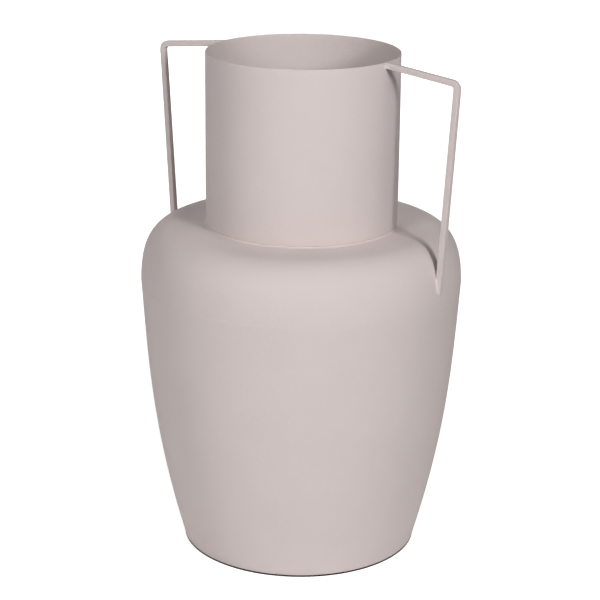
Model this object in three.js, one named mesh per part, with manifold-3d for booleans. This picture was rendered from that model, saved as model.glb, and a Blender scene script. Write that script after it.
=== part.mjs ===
// A tall sheet-steel amphora vase: a spun body wall and a spun shoulder, a rolled neck, a pressed
// base on a foam pad, and two bent square-bar handles, joined by weld beads. Sizes are in millimetres
// and +Z is up. The origin is the middle of the underside. The handles stand along +X and -X.
import * as THREE from 'three';
import { mergeVertices } from 'three/addons/utils/BufferGeometryUtils.js';
import Module from 'manifold-3d';

const wasm = await Module();
wasm.setup();

// Driving dimensions, with radii and heights taken to the outside of the metal
const overallHeight = 410; // from the table to the rim
const sheet = 0.8;
const padThickness = 1.5;
const baseRadius = 97;
const bellyRadius = 130.5; // the widest place, at the seam of wall and shoulder
const bellyHeight = 225.2;
const neckRadius = 77.6;
const neckFootHeight = 271;
const ringWidth = 23.4; // the nearly flat ring between the neck and the dome
const ringFall = 0.9; // how far that ring falls away from the neck

// How the two spun curves leave their ends: a slope in degrees above outward, and a pull along it
const baseSlope = 74.4;
const basePull = 100;
const wallTopSlope = 86.2;
const wallTopPull = 66.3;
const domeSlope = 91.5;
const domePull = 20.1;
const crownPull = 25.4;

// Joints between the sheet pieces
const seamGroove = 1.6; // opening of the weld groove round the belly
const lapHeight = 8; // how far the shoulder's skirt reaches down behind the wall
const collarHeight = 8; // how far the shoulder's collar reaches up inside the neck
const collarBend = 0.8;
const flangeHeight = 7; // upturned edge of the base plate
const flangeBend = 2.2;
const seatGap = 0.3; // between sheets that slide together, and between a bead and what it joins
const grooveGap = 0.1; // round the beads that fill the two grooves

// Handles
const bar = 4.7; // side of the square bar
const barEdge = 0.4; // chamfer along the bar
const armDrop = 7.5; // how far the arm falls from the rim to its outer corner
const lean = 10.8; // how much further out that corner is than the foot, before it is rounded
const outerBend = 7.2; // radius round the outside of the bend
const footRise = 7.4; // from the seam up to the lower end of the handle
const footProud = 1.6; // how far that end stands out of the shoulder
const runIn = 12; // how far the uncut bar runs on into the neck

// Weld beads
const neckBead = 1.2; // leg of the bead round the foot of the neck
const armBeadLeg = 1.4; // legs of the bead beside the arm, along the neck and along the bar
const armBeadDepth = 3.3;
const armBeadStop = 0.5; // how far below the rim it stops
const footBeadLeg = 1.4; // the same beside the handle's foot, along the shoulder and up the bar
const footBeadDepth = 1.4;
const beadUnder = 0.9; // how far these beads run on under the bar
const beadCrest = 0.3; // what is left of them beside the bar, where they run out on it

// Facets
const turns = 64; // round the vase
const curveSteps = 8; // along the wall, the dome and the handle's bend
const bendSteps = 2; // along the small bends of the sheet
const beadSteps = 4; // across the neck's bead, and along the beads beside the bar

const barColour = { color: 0xc5bab5, roughness: 0.72, metalness: 0 };
const sheetColour = { color: 0xc8bdb8, roughness: 0.72, metalness: 0 };
const beadColour = { color: 0xcbc1bc, roughness: 0.68, metalness: 0 };
const padColour = { color: 0x242323, roughness: 0.95, metalness: 0 };

// Plane geometry, with x as the distance from the axis and y as the height

function point(x, y) {
  return new THREE.Vector2(x, y);
}

function heading(degrees) {
  const angle = THREE.MathUtils.degToRad(degrees);
  return point(Math.cos(angle), Math.sin(angle));
}

function ahead(start, way, distance) {
  return start.clone().addScaledVector(way, distance);
}

function direction(from, to) {
  return to.clone().sub(from).normalize();
}

// A direction turned a quarter to the left
function leftOf(way) {
  return point(-way.y, way.x);
}

// The path moved sideways to its left, with its corners mitred
function offsetPath(path, distance) {
  return path.map((here, i) => {
    const before = direction(path[Math.max(i - 1, 0)], path[Math.max(i, 1)]);
    const after = direction(path[Math.min(i, path.length - 2)], path[Math.min(i + 1, path.length - 1)]);
    const middle = before.clone().add(after).normalize();
    return ahead(here, leftOf(middle), distance / middle.dot(after));
  });
}

// The closed outline of a strip that has the path as its right-hand side
function stripOutline(path, thickness) {
  return [...path, ...offsetPath(path, thickness).reverse()];
}

function crossing(start, way, otherStart, otherWay) {
  const apart = otherStart.clone().sub(start);
  const travel = apart.cross(otherWay) / way.cross(otherWay);
  return ahead(start, way, travel);
}

// A corner between two straight runs, rounded by an arc of the given radius
function roundedCorner(from, corner, to, radius, steps) {
  const inWay = direction(from, corner);
  const outWay = direction(corner, to);
  const turn = inWay.angleTo(outWay);
  const side = Math.sign(inWay.cross(outWay));
  const start = ahead(corner, inWay, -radius * Math.tan(turn / 2));
  const centre = ahead(start, leftOf(inWay), side * radius);
  const spoke = start.clone().sub(centre);
  const points = [];
  for (let i = 0; i <= steps; i++) {
    points.push(spoke.clone().rotateAround(point(0, 0), (side * turn * i) / steps).add(centre));
  }
  return points;
}

// How far along a curve a test of its place begins to hold, found by halving
function whereAlong(curve, reached) {
  const closeEnough = 1e-9;
  let low = 0;
  let high = 1;
  while (high - low > closeEnough) {
    const middle = (low + high) / 2;
    if (reached(curve.getPoint(middle))) high = middle;
    else low = middle;
  }
  return low;
}

function atHeight(curve, height) {
  return whereAlong(curve, (place) => place.y >= height);
}

function curvePart(curve, from, to, steps) {
  const points = [];
  for (let i = 0; i <= steps; i++) {
    points.push(curve.getPoint(from + ((to - from) * i) / steps));
  }
  return points;
}

// Solids

function toSolid(geometry) {
  const bare = geometry.clone();
  bare.deleteAttribute('normal');
  bare.deleteAttribute('uv');
  const merged = mergeVertices(bare, 1e-4);
  const index = merged.index.array;
  const kept = [];
  for (let i = 0; i < index.length; i += 3) {
    const [a, b, c] = index.slice(i, i + 3);
    if (a !== b && b !== c && c !== a) kept.push(a, b, c);
  }
  return new wasm.Manifold(new wasm.Mesh({
    numProp: 3,
    vertProperties: new Float32Array(merged.attributes.position.array),
    triVerts: new Uint32Array(kept),
  }));
}

function toMesh(name, solid, finish) {
  const { vertProperties, triVerts } = solid.getMesh();
  const geometry = new THREE.BufferGeometry();
  geometry.setAttribute('position', new THREE.BufferAttribute(vertProperties, 3));
  geometry.setIndex(new THREE.BufferAttribute(triVerts, 1));
  geometry.computeVertexNormals();
  const mesh = new THREE.Mesh(geometry, new THREE.MeshStandardMaterial(finish));
  mesh.name = name;
  return mesh;
}

// A solid of revolution: a ring from a closed outline, or a full body from one that ends on the axis.
// The outline runs anticlockwise, with the axis on its left where it climbs.
function spun(outline) {
  const onAxis = outline[0].x === 0 && outline[outline.length - 1].x === 0;
  const profile = onAxis ? outline : [...outline, outline[0]];
  return toSolid(new THREE.LatheGeometry(profile, turns).rotateX(Math.PI / 2));
}

// The spun curves of the vase

const wallBottom = point(baseRadius, padThickness);
const wallTop = point(bellyRadius, bellyHeight - seamGroove / 2);
const domeBottom = point(bellyRadius, bellyHeight + seamGroove / 2);
const neckFoot = point(neckRadius, neckFootHeight);
const crown = point(neckRadius + ringWidth, neckFootHeight - ringFall);
const flatWay = direction(crown, neckFoot);

const wallCurve = new THREE.CubicBezierCurve(
  wallBottom,
  ahead(wallBottom, heading(baseSlope), basePull),
  ahead(wallTop, heading(wallTopSlope), -wallTopPull),
  wallTop,
);
const domeCurve = new THREE.CubicBezierCurve(
  domeBottom,
  ahead(domeBottom, heading(domeSlope), domePull),
  ahead(crown, flatWay, -crownPull),
  crown,
);

const wallPath = wallCurve.getPoints(curveSteps);
const domePath = domeCurve.getPoints(curveSteps);
const behindWall = sheet + seatGap;

function bodyWall() {
  return spun(stripOutline(wallPath, sheet));
}

// One sheet from the skirt behind the wall, over the dome and the flat ring, up into the collar
const lapStart = atHeight(wallCurve, wallTop.y - lapHeight);
const skirtPath = offsetPath(curvePart(wallCurve, lapStart, 1, bendSteps), behindWall);

function shoulder() {
  const collarRadius = neckRadius - behindWall;
  const collarCorner = crossing(crown, flatWay, point(collarRadius, 0), point(0, 1));
  const collarTop = point(collarRadius, collarCorner.y + collarHeight);
  const bend = roundedCorner(crown, collarCorner, collarTop, collarBend, bendSteps);
  const collarPath = [...bend, collarTop];
  return spun(stripOutline([...skirtPath, ...domePath, ...collarPath], sheet));
}

function neckTube() {
  const edge = point(neckRadius, neckFootHeight + collarBend + seatGap);
  return spun(stripOutline([edge, point(neckRadius, overallHeight)], sheet));
}

// A disc with an upturned edge that stands inside the foot of the wall
const flangeEnd = atHeight(wallCurve, padThickness + flangeHeight);
const flangePath = offsetPath(curvePart(wallCurve, 0, flangeEnd, 1), behindWall);
const baseMiddle = point(0, padThickness);
const [flangeFoot, flangeTop] = flangePath;
const baseCorner = crossing(baseMiddle, point(1, 0), flangeTop, direction(flangeFoot, flangeTop));
const baseBend = roundedCorner(baseMiddle, baseCorner, flangeTop, flangeBend, 2 * bendSteps);
const basePath = [baseMiddle, ...baseBend, flangeTop];

function basePlate() {
  const inside = offsetPath(basePath, sheet);
  inside[0] = point(0, padThickness + sheet);
  return spun([...basePath, ...inside.reverse()]);
}

function basePad() {
  return spun([
    point(0, 0),
    point(baseRadius, 0),
    point(baseRadius, padThickness),
    baseMiddle,
  ]);
}

// Beads round the vase

function seamWeld() {
  const groove = [wallTop, domeBottom, skirtPath[skirtPath.length - 1]];
  const middle = groove.reduce((sum, corner) => sum.add(corner), point(0, 0)).divideScalar(3);
  const bead = groove.map((corner) => ahead(corner, direction(corner, middle), 2 * grooveGap));
  return spun(bead);
}

// Between the plate's rounded edge and the inside of the wall, ground flat underneath
function baseWeld() {
  const wallWay = direction(wallPath[0], wallPath[1]);
  const wallSide = ahead(wallBottom, leftOf(wallWay), sheet + grooveGap);
  const low = crossing(baseMiddle, point(1, 0), wallSide, wallWay);
  const [start, ...bend] = offsetPath(basePath, -grooveGap).slice(2, -2);
  const high = crossing(bend[bend.length - 1], point(1, 0), wallSide, wallWay);
  return spun([point(start.x, padThickness), low, high, ...bend.reverse(), start]);
}

function neckWeld() {
  const root = ahead(neckFoot, point(1, 1), seatGap);
  const up = ahead(root, point(0, 1), neckBead);
  const out = ahead(root, flatWay, -neckBead);
  const hollow = ahead(root, point(1, 1), neckBead / 3);
  const face = new THREE.QuadraticBezierCurve(out, hollow, up).getPoints(beadSteps);
  return spun([root, ...face]);
}

// Handles

const rim = point(neckRadius, overallHeight);
const footHeight = bellyHeight + footRise;
const footTip = ahead(domeCurve.getPoint(atHeight(domeCurve, footHeight)), point(1, 0), footProud);
const handleCorner = point(footTip.x + lean, overallHeight - armDrop);
const armWay = direction(rim, handleCorner);
const footWay = direction(handleCorner, footTip);

// Everything that the handles seat on, filled in and grown by the gap that they keep
function seat(gap) {
  const top = overallHeight + bar;
  const grown = offsetPath([...wallPath, ...domePath, neckFoot, point(neckRadius, top)], -gap);
  return spun([point(0, grown[0].y), ...grown, point(0, top)]);
}

// The bent bar before its ends are cut, grown all round by a gap where it cuts a bead.
// Its outline is drawn along the outer side of the bend and given the bar's width.
function bentBar(gap) {
  const width = bar + 2 * gap;
  const bend = roundedCorner(rim, handleCorner, footTip, outerBend, curveSteps);
  const outer = offsetPath([ahead(rim, armWay, -runIn), ...bend, ahead(footTip, footWay, gap)], gap);
  const geometry = new THREE.ExtrudeGeometry(new THREE.Shape(stripOutline(outer, -width)), {
    depth: width - 2 * barEdge,
    bevelEnabled: true,
    bevelSegments: 1,
    bevelSize: barEdge,
    bevelThickness: barEdge,
    bevelOffset: -barEdge,
  });
  geometry.rotateX(Math.PI / 2);
  geometry.translate(0, width / 2 - barEdge, 0);
  return toSolid(geometry);
}

// Two fillets beside the bar, joined by a thin run under it. Their section is drawn across the bar, from
// the vase outwards, and is then laid along a part of the vase's outline.
function beadRoundBar(outline, from, to, leg, depth) {
  const wide = bar / 2 + leg;
  const narrow = bar / 2 + seatGap + beadCrest;
  const section = new THREE.Shape([
    point(-depth, -wide),
    point(0, -wide),
    point(depth, -narrow),
    point(depth, narrow),
    point(0, wide),
    point(-depth, wide),
  ]);
  const run = new THREE.ExtrudeGeometry(section, { depth: 1, steps: beadSteps, bevelEnabled: false });
  const places = run.attributes.position;
  for (let i = 0; i < places.count; i++) {
    const along = from + (to - from) * places.getZ(i);
    const outward = leftOf(outline.getTangent(along)).negate();
    const place = ahead(outline.getPoint(along), outward, places.getX(i));
    places.setXYZ(i, place.x, places.getY(i), place.y);
  }
  return toSolid(run).subtract(seat(seatGap)).subtract(bentBar(seatGap));
}

function armWeld() {
  const low = point(neckRadius, overallHeight - bar - beadUnder);
  const high = point(neckRadius, overallHeight - armBeadStop);
  return beadRoundBar(new THREE.LineCurve(low, high), 0, 1, armBeadLeg, armBeadDepth);
}

// The bead ends just before the place where the back of the bar leaves the dome
function footWeld() {
  const inward = leftOf(footWay).negate();
  const sunk = (place) => place.clone().sub(footTip).dot(inward);
  const low = atHeight(domeCurve, footHeight - beadUnder);
  const high = whereAlong(domeCurve, (place) => sunk(place) >= bar - seatGap);
  return beadRoundBar(domeCurve, low, high, footBeadLeg, footBeadDepth);
}

// The assembly

const vase = new THREE.Group();
vase.add(
  toMesh('body_wall', bodyWall(), sheetColour),
  toMesh('shoulder', shoulder(), sheetColour),
  toMesh('neck_tube', neckTube(), sheetColour),
  toMesh('base_plate', basePlate(), sheetColour),
  toMesh('base_pad', basePad(), padColour),
  toMesh('seam_weld', seamWeld(), beadColour),
  toMesh('base_weld', baseWeld(), beadColour),
  toMesh('neck_weld', neckWeld(), beadColour),
);

const handle = bentBar(0).subtract(seat(seatGap));
for (const [side, turn] of [['right', 0], ['left', Math.PI]]) {
  const group = new THREE.Group();
  group.rotation.z = turn;
  group.add(
    toMesh(`handle_${side}`, handle, barColour),
    toMesh(`arm_weld_${side}`, armWeld(), beadColour),
    toMesh(`foot_weld_${side}`, footWeld(), beadColour),
  );
  vase.add(group);
}

export default vase;
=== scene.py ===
import math

import bmesh
import bpy
from mathutils import Matrix, Vector
from mathutils.geometry import interpolate_bezier


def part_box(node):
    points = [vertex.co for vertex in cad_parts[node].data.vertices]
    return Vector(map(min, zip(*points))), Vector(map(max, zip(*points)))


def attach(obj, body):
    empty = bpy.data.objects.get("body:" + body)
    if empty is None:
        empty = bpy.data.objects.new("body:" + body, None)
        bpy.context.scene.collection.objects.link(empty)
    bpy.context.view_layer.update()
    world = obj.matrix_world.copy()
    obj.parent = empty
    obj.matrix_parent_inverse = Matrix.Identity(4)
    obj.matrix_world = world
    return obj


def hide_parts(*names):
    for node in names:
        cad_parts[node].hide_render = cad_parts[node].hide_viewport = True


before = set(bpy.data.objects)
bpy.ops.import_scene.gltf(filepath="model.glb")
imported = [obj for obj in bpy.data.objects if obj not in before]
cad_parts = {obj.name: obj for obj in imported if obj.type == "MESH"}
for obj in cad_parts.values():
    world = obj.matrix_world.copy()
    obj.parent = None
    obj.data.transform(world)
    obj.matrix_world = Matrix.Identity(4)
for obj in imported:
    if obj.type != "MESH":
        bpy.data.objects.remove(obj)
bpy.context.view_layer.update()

MM = 0.001

# The camera stands where the photograph was taken from: degrees, metres, and a lens in millimetres
CAMERA_AZIMUTH = -55.96
CAMERA_DISTANCE = 1.46485
CAMERA_HEIGHT = 0.68209
CAMERA_PITCH = 18.094
CAMERA_YAW = 0.029
CAMERA_ROLL = 0.56
LENS = 112.45
SENSOR = 36
NEAREST_SEEN = 0.05
FARTHEST_SEEN = 20

# Sizes that the frame gives, with radii and heights taken to the outside of the metal
BASE_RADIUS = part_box("base_pad")[1].x
PAD_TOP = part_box("base_pad")[1].z
BELLY_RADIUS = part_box("body_wall")[1].x
NECK_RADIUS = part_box("neck_tube")[1].x
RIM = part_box("neck_tube")[1].z
NECK_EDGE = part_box("neck_tube")[0].z
COLLAR_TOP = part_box("shoulder")[1].z
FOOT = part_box("handle_right")[0].z

# The sheet and its joints
SHEET = 0.8 * MM
SEAT_GAP = 0.3 * MM
BEHIND_WALL = SHEET + SEAT_GAP
SEAM_GROOVE = 1.6 * MM
LAP = 8 * MM
COLLAR_BEND = 0.8 * MM
FLANGE_TOP = 9 * MM
FLANGE_BEND = 2.2 * MM
MIDDLE_RING = 1 * MM
RING_WIDTH = 23.4 * MM
RING_FALL = 0.9 * MM

# How far the cut edges of the sheets are eased
WALL_EDGE = 0.15 * MM
SHOULDER_EDGE = 0.12 * MM
RIM_EDGE = 0.22 * MM
PLATE_EDGE = 0.15 * MM

# How the two spun curves leave their ends: a slope in degrees above outward, and a pull along it
BASE_SLOPE = 74.4
BASE_PULL = 100 * MM
WALL_TOP_SLOPE = 86.2
WALL_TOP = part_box("body_wall")[1].z - SHEET * math.cos(math.radians(WALL_TOP_SLOPE))
WALL_TOP_PULL = 66.3 * MM
DOME_SLOPE = 91.5
DOME_PULL = 20.1 * MM
CROWN_PULL = 25.4 * MM

# The foam's edge bulges where the vase squeezes it
FOAM_BULGE = 0.06 * MM

# The handles' square bar
BAR = 4.7 * MM
BAR_EDGE = 0.42 * MM
ARM_DROP = 7.5 * MM
LEAN = 10.8 * MM
OUTER_BEND = 7.2 * MM
FOOT_PROUD = 1.6 * MM

# The form that the bars and their beads are cut to, and how far bars and form reach past the cuts
SUNK = 0.1 * MM
BAR_INTO_NECK = 3 * MM
SEAT_BELOW_FOOT = 30 * MM
SEAT_ABOVE_RIM = 10 * MM

# The bead round the neck, with the corners of its section given from the foot of the neck
NECK_BEAD = 1.9 * MM
NECK_BEAD_TUCK = 0.08 * MM
NECK_BEAD_TOE_SUNK = 0.02 * MM
NECK_BEAD_TOP_SUNK = 0.15 * MM
NECK_BEAD_ROOT = Vector((-0.25, -0.05)) * MM
NECK_BEAD_HOLLOW = Vector((0.75, 0.08)) * MM
NECK_BEAD_BROW = Vector((0.3, 0.9)) * MM
NECK_BEAD_SHOWS = NECK_RADIUS + 0.2 * MM
RIPPLE_RISE = 0.05 * MM
RIPPLE_PITCH = 4
LUMP = 7 * MM
LUMP_DEPTH = 0.25 * MM

# The beads beside the handles. Their fullness is a share of the full section
ARM_BEAD_LEG = 1.4 * MM
ARM_BEAD_DEPTH = 3.3 * MM
ARM_BEAD_STOP = 0.5 * MM
FOOT_BEAD_LEG = 1.4 * MM
FOOT_BEAD_DEPTH = 1.4 * MM
FOOT_BEAD_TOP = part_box("foot_weld_right")[1].z
BEAD_UNDER = 0.4 * MM
THIN_END = 0.6
FILLS_BY = 0.2
FALLS_BETWEEN = 0.05

# Smoothness of the surfaces
TURNS = 192
NECK_BEAD_TURNS = 960
CURVE_STEPS = 64
NECK_STEPS = 24
COLLAR_STEPS = 5
FLANGE_STEPS = 8
BASE_BEAD_STARTS = 3
BAR_BEND_STEPS = 14
ARM_BEAD_STEPS = 12
NECK_BEAD_STEPS = 6
EDGE_STEPS = 3
SAME_PLACE = 0.001 * MM


# Plane geometry, with x as the distance from the axis and y as the height

def heading(degrees):
    angle = math.radians(degrees)
    return Vector((math.cos(angle), math.sin(angle)))


def left_of(way):
    return Vector((-way.y, way.x))


def offset_path(path, distance):
    """The path moved sideways to its left, with its corners mitred."""
    moved = []
    for i, here in enumerate(path):
        before = (path[max(i, 1)] - path[max(i - 1, 0)]).normalized()
        after = (path[min(i + 1, len(path) - 1)] - path[min(i, len(path) - 2)]).normalized()
        middle = (before + after).normalized()
        moved.append(here + left_of(middle) * (distance / middle.dot(after)))
    return moved


def crossing(start, way, other_start, other_way):
    """The place where two straight lines meet."""
    apart = other_start - start
    travel = apart.cross(other_way) / way.cross(other_way)
    return start + way * travel


def rounded_corner(before, corner, after, radius, steps):
    """An arc of the given radius between two straight runs."""
    in_way = (corner - before).normalized()
    out_way = (after - corner).normalized()
    turn = math.atan2(in_way.cross(out_way), in_way.dot(out_way))
    side = math.copysign(1, turn)
    start = corner - in_way * radius * math.tan(abs(turn) / 2)
    centre = start + left_of(in_way) * side * radius
    return [centre + Matrix.Rotation(turn * i / steps, 2) @ (start - centre) for i in range(steps + 1)]


def in_space(place):
    return Vector((place.x, 0, place.y))


# The outlines that the pieces share

wall_bottom = Vector((BASE_RADIUS, PAD_TOP))
wall_top = Vector((BELLY_RADIUS, WALL_TOP))
dome_bottom = wall_top + Vector((0, SEAM_GROOVE))
neck_foot = Vector((NECK_RADIUS, NECK_EDGE - COLLAR_BEND - SEAT_GAP))
crown = neck_foot + Vector((RING_WIDTH, -RING_FALL))
flat_way = (neck_foot - crown).normalized()
rim = Vector((NECK_RADIUS, RIM))
outward = Vector((1, 0))
upward = Vector((0, 1))

wall_path = interpolate_bezier(
    wall_bottom,
    wall_bottom + heading(BASE_SLOPE) * BASE_PULL,
    wall_top - heading(WALL_TOP_SLOPE) * WALL_TOP_PULL,
    wall_top,
    CURVE_STEPS,
)
dome_path = interpolate_bezier(
    dome_bottom,
    dome_bottom + heading(DOME_SLOPE) * DOME_PULL,
    crown - flat_way * CROWN_PULL,
    crown,
    CURVE_STEPS,
)


# Modelling

def alone(piece):
    bpy.ops.object.select_all(action="DESELECT")
    piece.select_set(True)
    bpy.context.view_layer.objects.active = piece


def edit(piece):
    """Opens a piece with all of it selected."""
    alone(piece)
    bpy.ops.object.mode_set(mode="EDIT")
    bpy.ops.mesh.select_all(action="SELECT")


def leave_edit():
    bpy.ops.object.mode_set(mode="OBJECT")


def started(name):
    """Names the primitive that was just added and opens it."""
    piece = bpy.context.object
    piece.name = name
    edit(piece)
    return piece


def extrude(way):
    bpy.ops.mesh.extrude_region_move(TRANSFORM_OT_translate={"value": way})


def stretch(factors, centre):
    bpy.ops.transform.resize(value=factors, center_override=centre)


def close_up():
    """Merges what meets, turns the faces outwards and lays the piece's place and turn in its mesh."""
    bpy.ops.mesh.select_all(action="SELECT")
    bpy.ops.mesh.remove_doubles(threshold=SAME_PLACE)
    bpy.ops.mesh.normals_make_consistent(inside=False)
    leave_edit()
    bpy.ops.object.transform_apply(location=True, rotation=True, scale=True)


def pick_vertices(piece, wanted):
    """Selects in edit mode the vertices whose place passes a test, and nothing else."""
    bpy.ops.mesh.select_all(action="DESELECT")
    mesh = bmesh.from_edit_mesh(piece.data)
    for vertex in mesh.verts:
        vertex.select = wanted(vertex.co)
    mesh.select_flush(True)
    bmesh.update_edit_mesh(piece.data)


def apply_modifier(piece, kind, **settings):
    alone(piece)
    modifier = piece.modifiers.new(kind, kind)
    for name, value in settings.items():
        setattr(modifier, name, value)
    bpy.ops.object.modifier_apply(modifier=modifier.name)


def ease_edges(piece, width, degrees):
    """Rounds the edges that turn by more than an angle."""
    sharp = math.radians(degrees)
    settings = {"segments": EDGE_STEPS, "limit_method": "ANGLE", "angle_limit": sharp}
    apply_modifier(piece, "BEVEL", width=width, **settings)


def spun(name, path, turns=TURNS, closed_start=False, closed_end=False):
    """A skin of revolution: a ring of edges drawn along the path. A path that comes back to its start
    closes on itself, and either end can be closed by a fan of faces instead."""
    start = path[0]
    bpy.ops.mesh.primitive_circle_add(
        vertices=turns,
        radius=start.x,
        fill_type="TRIFAN" if closed_start else "NOTHING",
        location=(0, 0, start.y),
    )
    piece = started(name)
    if closed_start:
        bpy.ops.mesh.region_to_loop()
    for before, here in zip(path, path[1:]):
        widen = here.x / before.x
        extrude((0, 0, here.y - before.y))
        stretch((widen, widen, 1), (0, 0, here.y))
    if closed_end:
        bpy.ops.mesh.extrude_region_move()
        bpy.ops.mesh.merge(type="CENTER")
    close_up()
    return piece


def make_sheet(piece, edge):
    """Gives the skin its thickness on the inside and eases its cut edges."""
    apply_modifier(piece, "SOLIDIFY", thickness=SHEET, offset=-1, use_even_offset=True)
    ease_edges(piece, edge, degrees=40)


def smooth(piece, degrees=35):
    alone(piece)
    bpy.ops.object.shade_smooth_by_angle(angle=math.radians(degrees))


def settle(piece, node):
    """The finished piece stands for its node of the frame."""
    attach(piece, "root")
    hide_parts(node)
    return piece


# The sheet pieces

def body_wall():
    wall = spun("wall", wall_path)
    make_sheet(wall, WALL_EDGE)
    smooth(wall)
    return settle(wall, "body_wall")


def shoulder():
    """Skirt behind the wall, joggle, dome, flat ring and collar, all one sheet."""
    lapped = [place for place in wall_path if place.y > WALL_TOP - LAP]
    skirt = offset_path(lapped, BEHIND_WALL)
    inside_neck = NECK_RADIUS - BEHIND_WALL
    corner = crossing(crown, flat_way, Vector((inside_neck, 0)), upward)
    collar_top = Vector((inside_neck, COLLAR_TOP))
    collar = [*rounded_corner(crown, corner, collar_top, COLLAR_BEND, COLLAR_STEPS), collar_top]
    dome = spun("shoulder_dome", [*skirt, *dome_path, *collar])
    make_sheet(dome, SHOULDER_EDGE)
    smooth(dome)
    return settle(dome, "shoulder")


def neck_tube():
    heights = [NECK_EDGE + (RIM - NECK_EDGE) * i / NECK_STEPS for i in range(NECK_STEPS + 1)]
    tube = spun("neck", [Vector((NECK_RADIUS, height)) for height in heights])
    make_sheet(tube, RIM_EDGE)
    smooth(tube)
    return settle(tube, "neck_tube")


def base_path():
    """From the top of the upturned edge down, round the bend and in to a small ring in the middle."""
    near_foot = [place for place in wall_path if place.y < FLANGE_TOP]
    flange = offset_path(near_foot, BEHIND_WALL)
    flange_top = flange[-1]
    way = (flange[0] - flange_top).normalized()
    corner = crossing(flange_top, way, wall_bottom, outward)
    middle = Vector((MIDDLE_RING, PAD_TOP))
    return [flange_top, *rounded_corner(flange_top, corner, middle, FLANGE_BEND, FLANGE_STEPS), middle]


def base_plate():
    plate = spun("bottom_plate", base_path(), closed_end=True)
    make_sheet(plate, PLATE_EDGE)
    smooth(plate)
    return settle(plate, "base_plate")


def base_pad():
    """A disc of foam with a slightly squeezed, rounded edge."""
    side = [
        Vector((BASE_RADIUS - 2 * FOAM_BULGE, 0)),
        Vector((BASE_RADIUS - FOAM_BULGE / 2, 0.2 * PAD_TOP)),
        Vector((BASE_RADIUS, PAD_TOP / 2)),
        Vector((BASE_RADIUS - FOAM_BULGE / 2, 0.8 * PAD_TOP)),
        Vector((BASE_RADIUS - 2 * FOAM_BULGE, PAD_TOP)),
    ]
    pad = spun("foot_pad", side, closed_start=True, closed_end=True)
    smooth(pad)
    return settle(pad, "base_pad")


# Beads round the vase

def seam_weld():
    """Fills the groove round the belly and is ground flush with the metal on both sides."""
    root = offset_path(wall_path[-2:], BEHIND_WALL)[-1]
    bead = spun("seam_bead", [wall_top, dome_bottom, root, wall_top])
    smooth(bead)
    return settle(bead, "seam_weld")


def base_weld():
    """Between the lower part of the plate's bend and the inside of the wall, ground flat underneath."""
    bend = base_path()[BASE_BEAD_STARTS:FLANGE_STEPS + 1]
    inner_wall = offset_path(wall_path[:2], SHEET)
    wall_way = (inner_wall[1] - inner_wall[0]).normalized()
    low = crossing(wall_bottom, outward, inner_wall[0], wall_way)
    high = crossing(bend[0], outward, inner_wall[0], wall_way)
    bead = spun("bottom_bead", [low, high, *bend, low])
    smooth(bead)
    return settle(bead, "base_weld")


def ripple(piece, turns):
    """Raises every few rows of a bead a little where it shows, as the pool of metal sets in steps."""

    def crest(place):
        row = round(math.atan2(place.y, place.x) / math.tau * turns)
        return row % RIPPLE_PITCH == 0 and place.xy.length > NECK_BEAD_SHOWS

    edit(piece)
    pick_vertices(piece, crest)
    bpy.ops.transform.shrink_fatten(value=RIPPLE_RISE)
    leave_edit()


def uneven(piece):
    """Gives a bead the slight ups and downs of a hand-held torch."""
    clouds = bpy.data.textures.new(f"{piece.name}_lumps", "CLOUDS")
    clouds.noise_scale = LUMP
    clouds.noise_depth = 1
    settings = {"texture": clouds, "texture_coords": "LOCAL", "strength": LUMP_DEPTH, "mid_level": 0.5}
    apply_modifier(piece, "DISPLACE", **settings)
    bpy.data.textures.remove(clouds)


def neck_weld():
    """A hollow fillet from the ring up to just under the neck's cut edge, which stays as a fine line."""
    root = neck_foot + NECK_BEAD_ROOT
    toe = neck_foot - flat_way * NECK_BEAD - upward * NECK_BEAD_TOE_SUNK
    hollow = neck_foot + NECK_BEAD_HOLLOW
    brow = neck_foot + NECK_BEAD_BROW
    top = Vector((NECK_RADIUS - NECK_BEAD_TOP_SUNK, NECK_EDGE - NECK_BEAD_TUCK))
    shares = [i / NECK_BEAD_STEPS for i in range(NECK_BEAD_STEPS + 1)]
    face = [toe.lerp(hollow, share).lerp(hollow.lerp(brow, share), share) for share in shares]
    bead = spun("neck_bead", [root, *face, top, root], NECK_BEAD_TURNS)
    ripple(bead, NECK_BEAD_TURNS)
    uneven(bead)
    smooth(bead, degrees=60)
    return settle(bead, "neck_weld")


# Handles

def seat_form():
    """All that the handles stand on, filled in and a little smaller than the metal's outside."""
    outside = [place for place in wall_path if place.y > FOOT - SEAT_BELOW_FOOT]
    above = rim + upward * SEAT_ABOVE_RIM
    path = offset_path([*outside, *dome_path[1:-1], crown, neck_foot, above], SUNK)
    return spun("seat_form", path, closed_start=True, closed_end=True)


def bent_bar(name):
    """A square face drawn out along the arm, swung round the bend and drawn down the upright."""
    foot_radius = next(place.x for place in dome_path if place.y >= FOOT)
    foot_tip = Vector((foot_radius + FOOT_PROUD, FOOT))
    corner = Vector((foot_tip.x + LEAN, RIM - ARM_DROP))
    arm_way = (corner - rim).normalized()
    down_way = (foot_tip - corner).normalized()
    turn = math.acos(arm_way.dot(down_way))
    setback = OUTER_BEND * math.tan(turn / 2)
    start = rim - arm_way * BAR_INTO_NECK
    bend_start = corner - arm_way * setback
    bend_end = corner + down_way * setback
    centre = bend_start - left_of(arm_way) * OUTER_BEND
    bpy.ops.mesh.primitive_plane_add(
        size=BAR,
        location=in_space(start - left_of(arm_way) * BAR / 2),
        rotation=(0, math.atan2(arm_way.x, arm_way.y), 0),
    )
    piece = started(name)
    extrude(in_space(bend_start - start))
    bpy.ops.mesh.spin(steps=BAR_BEND_STEPS, angle=-turn, center=in_space(centre), axis=(0, 1, 0))
    extrude(in_space(foot_tip - bend_end))
    close_up()
    ease_edges(piece, BAR_EDGE, degrees=50)
    return piece


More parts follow.
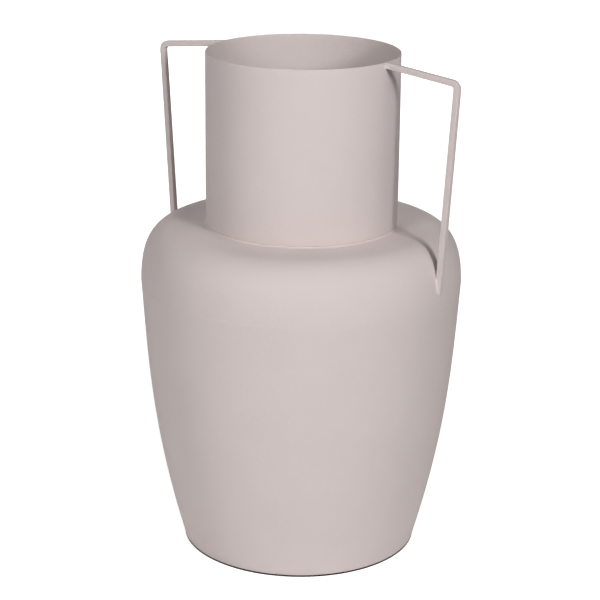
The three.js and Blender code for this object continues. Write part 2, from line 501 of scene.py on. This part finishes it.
def fullness(step, last):
    """How much of its section a bead fills: thin at both ends, and lower at every second step."""
    return min(THIN_END + FILLS_BY * min(step, last - step), 1) - FALLS_BETWEEN * (step % 2)


def fillets(name, path, leg, depth):
    """The two beads beside the bar: one section drawn along the vase's outline. It is as wide as the bar
    on its outer side, a leg wider each way at the outline and two legs wider at the same depth inside."""
    start = in_space(path[0])
    last = len(path) - 1
    bpy.ops.mesh.primitive_plane_add(size=2, location=start)
    bead = started(name)
    stretch((depth, BAR / 2, 1), start)
    pick_vertices(bead, lambda place: place.x < 0)
    stretch((1, 1 + 4 * leg / BAR, 1), start)
    bpy.ops.mesh.select_all(action="SELECT")
    thin = fullness(0, last)
    stretch((thin, thin, 1), start)
    for i in range(1, len(path)):
        swell = fullness(i, last) / fullness(i - 1, last)
        extrude(in_space(path[i] - path[i - 1]))
        stretch((swell, swell, 1), in_space(path[i]))
    close_up()
    return bead


def turn_round(piece):
    """To the other side of the vase."""
    piece.rotation_euler.z = math.pi
    alone(piece)
    bpy.ops.object.transform_apply(location=True, rotation=True, scale=True)


def handle(side):
    """A bar and its beads, drawn on the right, cut to the vase and turned round for the left."""
    seat = seat_form()
    low = rim - upward * (BAR + BEAD_UNDER)
    high = rim - upward * ARM_BEAD_STOP
    beside_arm = [low.lerp(high, i / ARM_BEAD_STEPS) for i in range(ARM_BEAD_STEPS + 1)]
    beside_foot = [place for place in dome_path if FOOT - BEAD_UNDER <= place.y <= FOOT_BEAD_TOP]
    pieces = {
        "handle": bent_bar(f"bar_{side}"),
        "arm_weld": fillets(f"arm_bead_{side}", beside_arm, ARM_BEAD_LEG, ARM_BEAD_DEPTH),
        "foot_weld": fillets(f"foot_bead_{side}", beside_foot, FOOT_BEAD_LEG, FOOT_BEAD_DEPTH),
    }
    for part, piece in pieces.items():
        apply_modifier(piece, "BOOLEAN", operation="DIFFERENCE", solver="EXACT", object=seat)
        smooth(piece, degrees=50)
        if side == "left":
            turn_round(piece)
        settle(piece, f"{part}_{side}")
    bpy.data.objects.remove(seat)
    return pieces


sheets = [body_wall(), shoulder(), neck_tube(), base_plate()]
pad = base_pad()
beads = [seam_weld(), base_weld(), neck_weld()]
for side in ("right", "left"):
    made = handle(side)
    sheets.append(made["handle"])
    beads += [made["arm_weld"], made["foot_weld"]]


# Finishes

class Value:
    """A number that changes over a surface. Its arithmetic adds Math nodes."""

    def __init__(self, finish, socket):
        self.finish = finish
        self.socket = socket

    def maths(self, operation, first, second):
        return self.finish.add("ShaderNodeMath", {"operation": operation}, {0: first, 1: second})

    def __add__(self, other):
        return self.maths("ADD", self, other)

    def __radd__(self, other):
        return self.maths("ADD", other, self)

    def __mul__(self, other):
        return self.maths("MULTIPLY", self, other)

    def __rmul__(self, other):
        return self.maths("MULTIPLY", other, self)

    def __lt__(self, other):
        return self.maths("LESS_THAN", self, other)


class Finish:
    """The nodes of a material or of the sky, with one method that adds any of them."""

    def __init__(self, holder):
        holder.use_nodes = True
        self.holder = holder
        self.tree = holder.node_tree
        self.tree.nodes.clear()

    def add(self, kind, settings=None, inputs=None, output=0):
        node = self.tree.nodes.new(kind)
        for name, value in (settings or {}).items():
            setattr(node, name, value)
        for name, value in (inputs or {}).items():
            if isinstance(value, Value):
                self.tree.links.new(value.socket, node.inputs[name])
            else:
                node.inputs[name].default_value = value
        return Value(self, node.outputs[output]) if node.outputs else None

    def noise(self, size, detail=2.0, roughness=0.5):
        """Soft random values from 0 to 1, with lumps of about the given size."""
        place = self.add("ShaderNodeTexCoord", output="Object")
        inputs = {"Vector": place, "Scale": 1 / size, "Detail": detail, "Roughness": roughness}
        return self.add("ShaderNodeTexNoise", inputs=inputs)

    def specks(self, spacing, radius):
        """Sparse round grains: 1 on a grain and 0 elsewhere."""
        place = self.add("ShaderNodeTexCoord", output="Object")
        inputs = {"Vector": place, "Scale": 1 / spacing}
        return self.add("ShaderNodeTexVoronoi", inputs=inputs) < radius / spacing

    def mix(self, share, low, high):
        """A colour between two others. The Mix node's colours are its inputs 6 and 7 and its output 2."""
        settings = {"data_type": "RGBA"}
        return self.add("ShaderNodeMix", settings, {0: share, 6: low, 7: high}, output=2)

    def bump(self, height, depth):
        """A roughened surface, where a height of 1 stands up by the depth."""
        return self.add("ShaderNodeBump", inputs={"Strength": 1, "Distance": depth, "Height": height})

    def surface(self, inputs):
        shader = self.add("ShaderNodeBsdfPrincipled", inputs=inputs)
        self.add("ShaderNodeOutputMaterial", inputs={"Surface": shader})
        return self.holder

    def seen(self):
        """1 where a ray comes from the camera or by a reflection, and 0 where it only brings light."""
        rays = ("Is Camera Ray", "Is Glossy Ray", "Is Transmission Ray")
        camera, glossy, through = (self.add("ShaderNodeLightPath", output=ray) for ray in rays)
        return camera + glossy + through


def rgb(red, green, blue):
    """A colour as a painter's chart gives it, 0 to 255, for a shader's socket."""
    share = (value / 255 for value in (red, green, blue))
    return (*((s / 12.92 if s <= 0.04045 else ((s + 0.055) / 1.055) ** 2.4) for s in share), 1)


PINK_GREY = rgb(211, 199, 197)
PALER_PINK_GREY = rgb(216, 205, 203)
GRIT_GREY = rgb(160, 147, 144)
FOAM_BLACK = rgb(20, 19, 18)
FOAM_GREY = rgb(38, 36, 35)
WHITE = (1, 1, 1, 1)

# The baked powder: sizes across the surface, and the shares of its parts in height, colour and mattness
SHADE_SIZE = 45 * MM
GRAIN_SIZE = 0.9 * MM
PEEL_SIZE = 2.8 * MM
NIB_SPACING = 14 * MM
NIB_RADIUS = 0.5 * MM
PEEL_HEIGHT = 1.6
NIB_HEIGHT = 2
GRAIN_TINT = 0.1
SMOOTHEST_COAT = 0.62
GRAIN_ROUGHNESS = 0.16
COAT_SHINE = 0.03
GRIT_DEPTH = 0.14 * MM
GRIT_DEPTH_ON_WELDS = 0.16 * MM

# The foam
CELL_SIZE = 0.5 * MM
CELL_DEPTH = 0.1 * MM


def powder_coat(name, grit_depth):
    """Dusty pink-grey powder, baked to a matt skin with a fine sandy grain."""
    finish = Finish(bpy.data.materials.new(name))
    shade = finish.noise(SHADE_SIZE, detail=3)
    grain = finish.noise(GRAIN_SIZE, detail=3, roughness=0.6)
    peel = finish.noise(PEEL_SIZE)
    nib = finish.specks(NIB_SPACING, NIB_RADIUS)
    colour = finish.mix(shade, PINK_GREY, PALER_PINK_GREY)
    return finish.surface({
        "Base Color": finish.mix(GRAIN_TINT * grain, colour, GRIT_GREY),
        "Roughness": SMOOTHEST_COAT + GRAIN_ROUGHNESS * grain,
        "Specular IOR Level": COAT_SHINE,
        "Normal": finish.bump(grain + PEEL_HEIGHT * peel + NIB_HEIGHT * nib, grit_depth),
    })


def foam():
    """Matt black closed-cell foam."""
    finish = Finish(bpy.data.materials.new("black_foam"))
    cells = finish.noise(CELL_SIZE)
    return finish.surface({
        "Base Color": finish.mix(cells, FOAM_BLACK, FOAM_GREY),
        "Roughness": 0.8 + 0.2 * cells,
        "Normal": finish.bump(cells, CELL_DEPTH),
    })


coat = powder_coat("powder_coat", GRIT_DEPTH)
bead_coat = powder_coat("powder_coat_on_welds", GRIT_DEPTH_ON_WELDS)
for piece in sheets:
    piece.data.materials.append(coat)
for piece in beads:
    piece.data.materials.append(bead_coat)
pad.data.materials.append(foam())


# Stage

def white_ground(name, size, place, paleness, glow):
    """A flat square that shows white. Its paleness is the share of light that it throws back on the vase,
    and with a glow below 1 it keeps a faint shadow."""
    bpy.ops.mesh.primitive_plane_add(size=size, location=place)
    ground = bpy.context.object
    ground.name = name
    finish = Finish(bpy.data.materials.new(name))
    pale = finish.add("ShaderNodeBsdfDiffuse", inputs={"Color": (paleness, paleness, paleness, 1)})
    white = finish.add("ShaderNodeEmission", inputs={"Strength": glow * finish.seen()})
    shown = finish.add("ShaderNodeAddShader", inputs={0: pale, 1: white})
    finish.add("ShaderNodeOutputMaterial", inputs={"Surface": shown})
    ground.data.materials.append(finish.holder)


def white_sky():
    """It shows white and gives no light."""
    finish = Finish(bpy.data.worlds.new("sky"))
    sky = finish.add("ShaderNodeBackground", inputs={"Color": WHITE, "Strength": finish.seen()})
    finish.add("ShaderNodeOutputWorld", inputs={"Surface": sky})
    bpy.context.scene.world = finish.holder


def soft_box(name, azimuth, elevation, size, power, distance=2.3):
    """A square lamp that faces the vase, at an azimuth from the camera's side, to its right."""
    light = bpy.data.lights.new(name, "AREA")
    light.shape = "SQUARE"
    light.size = size
    light.energy = power
    lamp = bpy.data.objects.new(name, light)
    bpy.context.collection.objects.link(lamp)
    round_vase = math.radians(CAMERA_AZIMUTH + azimuth)
    up = math.radians(elevation)
    way = Vector((math.cos(round_vase) * math.cos(up), math.sin(round_vase) * math.cos(up), math.sin(up)))
    lamp.location = Vector((0, 0, RIM / 2)) + way * distance
    lamp.rotation_euler = (-way).to_track_quat("-Z", "Y").to_euler()


def photo_camera():
    data = bpy.data.cameras.new("camera")
    data.sensor_width = SENSOR
    data.lens = LENS
    data.clip_start = NEAREST_SEEN
    data.clip_end = FARTHEST_SEEN
    camera = bpy.data.objects.new("camera", data)
    bpy.context.collection.objects.link(camera)
    side = math.radians(CAMERA_AZIMUTH)
    camera.location = (CAMERA_DISTANCE * math.cos(side), CAMERA_DISTANCE * math.sin(side), CAMERA_HEIGHT)
    facing = Matrix.Rotation(side + math.pi / 2 + math.radians(CAMERA_YAW), 3, "Z")
    tilt = Matrix.Rotation(math.pi / 2 - math.radians(CAMERA_PITCH), 3, "X")
    roll = Matrix.Rotation(math.radians(CAMERA_ROLL), 3, "Z")
    camera.rotation_euler = (facing @ tilt @ roll).to_euler()
    bpy.context.scene.camera = camera


photo_camera()
white_ground("board", size=0.9, place=(-0.13, -0.13, 0), paleness=0.85, glow=0.7)
white_ground("floor", size=6, place=(0, 0, -5 * MM), paleness=0.4, glow=1)
white_sky()
soft_box("right_box", azimuth=35, elevation=22, size=0.42, power=27)
soft_box("left_box", azimuth=-32, elevation=24, size=0.7, power=20.2)
soft_box("top_box", azimuth=40, elevation=67, size=0.9, power=8.5)
soft_box("side_box", azimuth=-77, elevation=13, size=0.8, power=5)
soft_box("back_box", azimuth=-162, elevation=20, size=0.9, power=11.8)
soft_box("rear_box", azimuth=180, elevation=2, size=0.5, power=9)
bpy.context.scene.view_settings.view_transform = "Standard"
